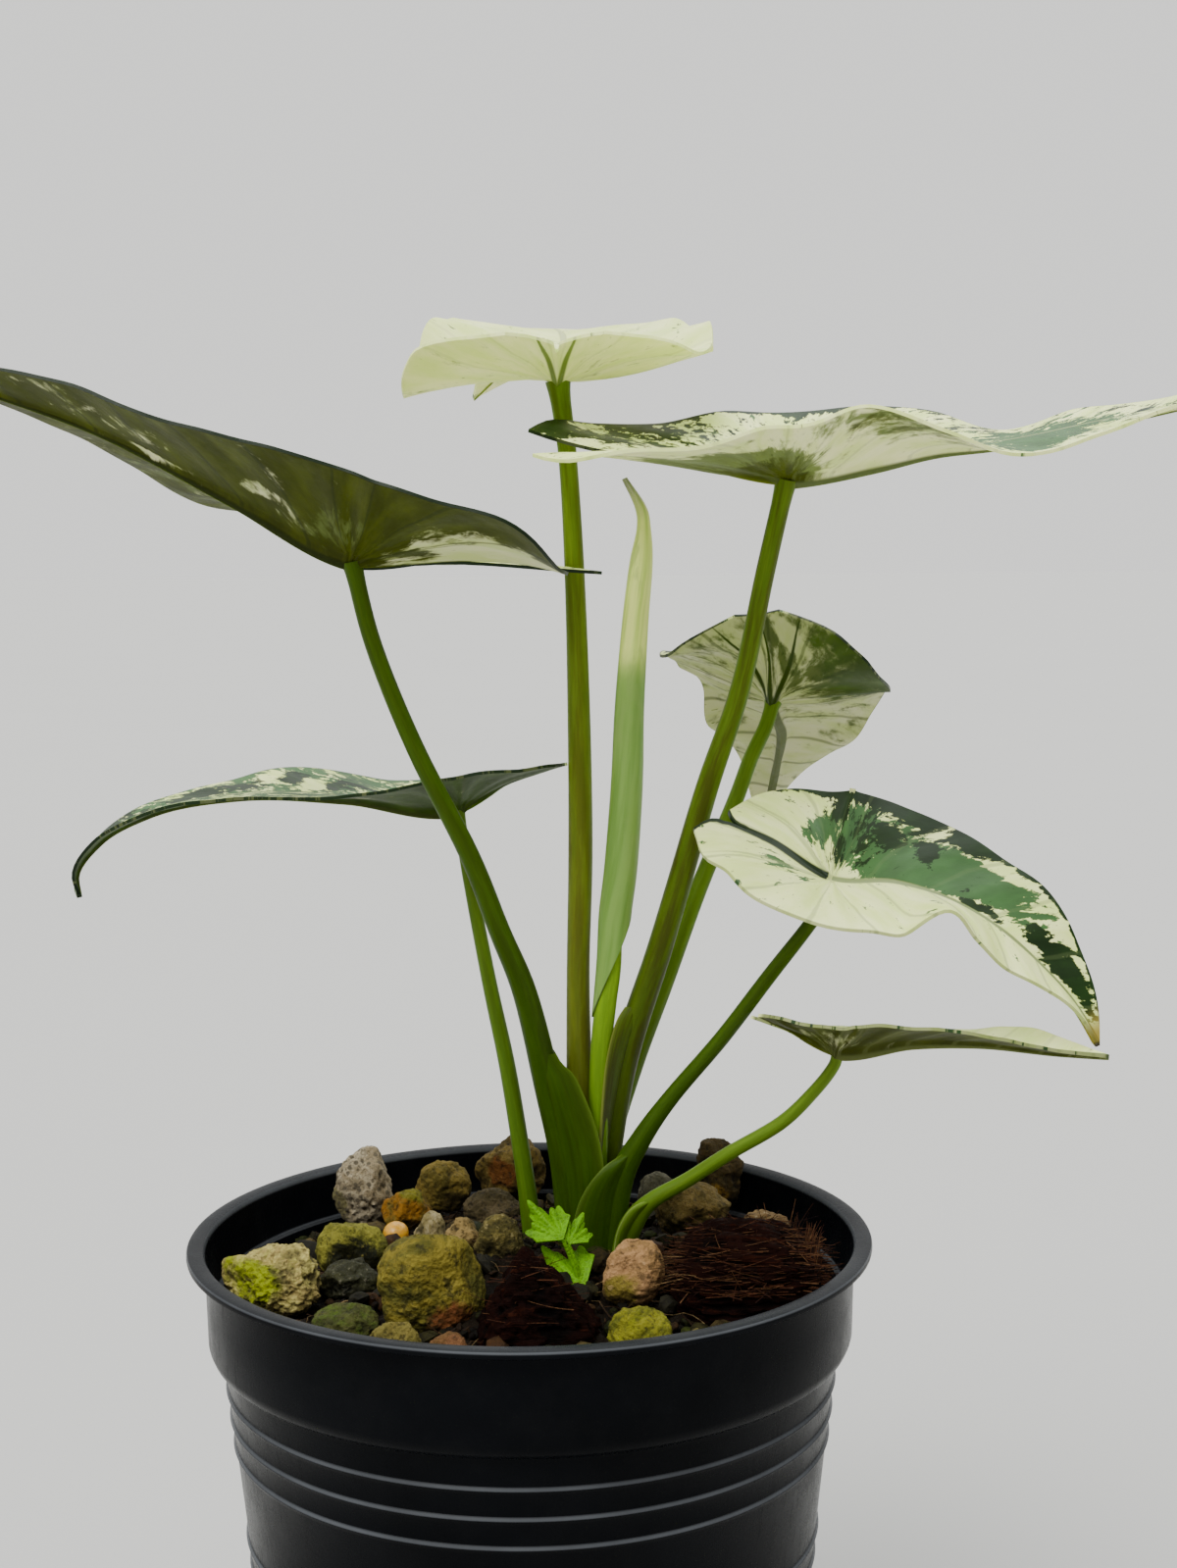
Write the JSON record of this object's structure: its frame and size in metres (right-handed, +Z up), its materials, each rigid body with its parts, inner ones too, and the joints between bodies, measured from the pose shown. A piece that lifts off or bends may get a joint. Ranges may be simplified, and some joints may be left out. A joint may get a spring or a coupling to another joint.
{
  "type": "potted alocasia",
  "caption": "Young potted alocasia with long arrow-shaped leaves marbled in cream and green, in a ribbed black nursery pot topped with loose stones.",
  "frame": {"origin": "centre of the pot's flat underside, on the surface it stands on", "axes": "+Z up along the pot's axis; -Y is the side seen in the picture; +X is to the right in the picture"},
  "size_m": [0.2129, 0.1252, 0.245],
  "materials": {
    "pot_plastic": "satin black moulded plastic",
    "mix": "matt, granular",
    "crown": "satin, fleshy",
    "petiole": "satin, mottled",
    "blade_upper_left": "satin, marbled",
    "blade_top": "satin, marbled",
    "blade_upper_right": "satin, marbled",
    "blade_back": "satin, marbled",
    "blade_lower_right": "satin, marbled",
    "blade_small": "satin, marbled",
    "blade_left": "satin, marbled",
    "blade_furled": "satin",
    "stone_mossy_coral": "rough, matt",
    "stone_speckled_pumice": "rough, matt",
    "stone_olive": "rough, matt",
    "stone_dark_grit": "rough, matt",
    "stone_boulder": "rough, matt",
    "stone_amber": "rough, matt",
    "stone_olive_brown": "rough, matt",
    "stone_red_porous": "rough, matt",
    "stone_grey_brown": "rough, matt",
    "stone_pale_tan": "rough, matt",
    "stone_tan": "rough, matt",
    "stone_mottled": "rough, matt",
    "stone_green_moss": "rough, matt",
    "stone_yellow_olive": "rough, matt",
    "stone_red_chip": "rough, matt",
    "stone_pink": "rough, matt",
    "stone_yellow_moss": "rough, matt",
    "stone_front_chip": "rough, matt",
    "stone_brown_slab": "rough, matt",
    "stone_bark_chip": "rough, matt",
    "stone_dark_cluster": "rough, matt",
    "stone_grey": "rough, matt",
    "husk": "rough, fibrous",
    "bead": "satin resin coat",
    "seedling": "satin"
  },
  "bodies": {
    "root": {"pot": "pot_plastic", "growing_mix": "mix", "crown": "crown", "petiole_upper_left": "petiole", "petiole_top": "petiole", "petiole_upper_right": "petiole", "petiole_back": "petiole", "petiole_lower_right": "petiole", "petiole_small": "petiole", "petiole_furled": "petiole", "petiole_left": "petiole", "blade_upper_left": "blade_upper_left", "blade_top": "blade_top", "blade_upper_right": "blade_upper_right", "blade_back": "blade_back", "blade_lower_right": "blade_lower_right", "blade_small": "blade_small", "blade_left": "blade_left", "blade_furled": "blade_furled", "stone_mossy_coral": "stone_mossy_coral", "stone_speckled_pumice": "stone_speckled_pumice", "stone_olive": "stone_olive", "stone_dark_grit": "stone_dark_grit", "stone_boulder": "stone_boulder", "stone_amber": "stone_amber", "stone_olive_brown": "stone_olive_brown", "stone_red_porous": "stone_red_porous", "stone_grey_brown": "stone_grey_brown", "stone_pale_tan": "stone_pale_tan", "stone_tan": "stone_tan", "stone_mottled": "stone_mottled", "stone_green_moss": "stone_green_moss", "stone_yellow_olive": "stone_yellow_olive", "stone_red_chip": "stone_red_chip", "stone_pink": "stone_pink", "stone_yellow_moss": "stone_yellow_moss", "stone_front_chip": "stone_front_chip", "stone_brown_slab": "stone_brown_slab", "stone_bark_chip": "stone_bark_chip", "stone_dark_cluster": "stone_dark_cluster", "stone_grey": "stone_grey", "husk_front": "husk", "husk_right": "husk", "fertiliser_bead": "bead", "seedling": "seedling"}
  },
  "joints": []
}
